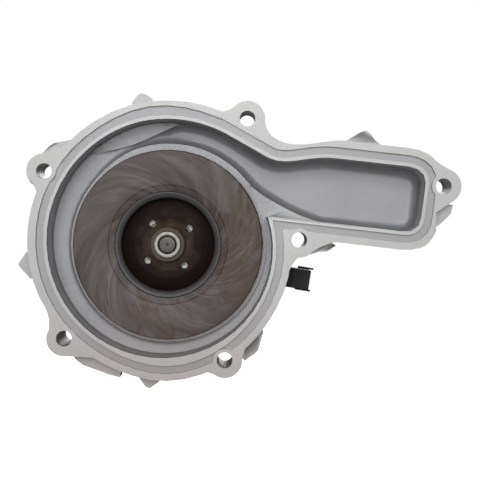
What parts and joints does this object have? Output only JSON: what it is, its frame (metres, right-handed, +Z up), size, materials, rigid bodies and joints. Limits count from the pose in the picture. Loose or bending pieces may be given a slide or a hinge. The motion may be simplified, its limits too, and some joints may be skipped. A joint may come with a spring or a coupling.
{
  "type": "water pump",
  "caption": "Engine coolant pump: volute housing with flange and outlet channel, shrouded impeller, shaft seal and bearing, and a belt pulley with an electromagnetic clutch.",
  "frame": {"origin": "on the shaft axis in the plane of the flange face that meets the engine", "axes": "+Y along the shaft from the flange face to the pulley, -Y out of the flange face towards the engine, +X towards the closed end of the outlet channel, +Z up"},
  "size_m": [0.312, 0.118, 0.2091],
  "materials": {
    "cast_aluminium": "fine-blasted die casting",
    "bearing_steel": "ground",
    "bright_steel": "machined",
    "dark_steel": "dull",
    "spring_steel": "rolled",
    "brown_plastic": "mottled, glass-filled moulding",
    "ring_plastic": "smooth moulding",
    "black_plastic": "moulding",
    "black_rubber": "matt",
    "potting": "cast resin over copper wire",
    "carbon": "lapped",
    "ceramic": "lapped",
    "black_paint": "electrophoretic coat"
  },
  "bodies": {
    "housing": {"pump_housing": "cast_aluminium", "seal_cup": "bright_steel", "seal_carbon_ring": "carbon", "seal_bellows": "black_rubber", "seal_spring": "spring_steel", "shaft_bearing_outer_ring": "bearing_steel", "shaft_bearing_front_seal": "black_rubber", "shaft_bearing_rear_seal": "black_rubber", "coil_shell": "dark_steel", "coil_winding": "potting", "coil_screw_1": "bright_steel", "coil_screw_2": "bright_steel", "coil_screw_3": "bright_steel", "pulley_bearing_inner_ring": "bearing_steel", "snout_circlip": "spring_steel", "connector_housing": "black_plastic", "connector_clip": "black_plastic", "connector_terminal_1": "bright_steel", "connector_terminal_2": "bright_steel"},
    "rotor": {"pump_shaft": "dark_steel", "impeller": "brown_plastic", "impeller_shroud": "brown_plastic", "impeller_eye_ring": "ring_plastic", "impeller_bush": "bright_steel", "seal_mating_ring": "ceramic", "drive_hub": "dark_steel", "hub_nut": "bright_steel", "leaf_spring_1": "spring_steel", "leaf_spring_2": "spring_steel", "leaf_spring_3": "spring_steel", "hub_rivet_1": "bright_steel", "hub_rivet_2": "bright_steel", "hub_rivet_3": "bright_steel"},
    "armature": {"armature_plate": "dark_steel", "armature_rivet_1": "bright_steel", "armature_rivet_2": "bright_steel", "armature_rivet_3": "bright_steel"},
    "pulley": {"clutch_pulley": "black_paint", "pulley_bearing_outer_ring": "bearing_steel"},
    "shaft_bearing_cages": {"shaft_bearing_balls": "bearing_steel", "shaft_bearing_rollers": "bearing_steel"},
    "pulley_bearing_cage": {"pulley_bearing_balls": "bearing_steel"}
  },
  "joints": [
    {"name": "shaft_spin", "type": "hinge", "parent": "housing", "child": "rotor", "pos_m": [0, 0.06, 0], "axis": [0, 1, 0], "continuous": true},
    {"name": "pulley_spin", "type": "hinge", "parent": "housing", "child": "pulley", "pos_m": [0, 0.072, 0], "axis": [0, 1, 0], "continuous": true},
    {"name": "armature_pull_in", "type": "slide", "parent": "rotor", "child": "armature", "axis": [0, -1, 0], "range_m": [0, 0.00045], "stiffness_N_per_m": 20000, "springref_m": -0.0004},
    {"name": "shaft_cage_spin", "type": "hinge", "parent": "housing", "child": "shaft_bearing_cages", "pos_m": [0, 0.068, 0], "axis": [0, 1, 0], "continuous": true},
    {"name": "pulley_cage_spin", "type": "hinge", "parent": "housing", "child": "pulley_bearing_cage", "pos_m": [0, 0.072, 0], "axis": [0, 1, 0], "continuous": true}
  ],
  "couplings": [
    {"joint": "shaft_cage_spin", "follows": "shaft_spin", "ratio": 0.361},
    {"joint": "pulley_cage_spin", "follows": "pulley_spin", "ratio": 0.54}
  ]
}
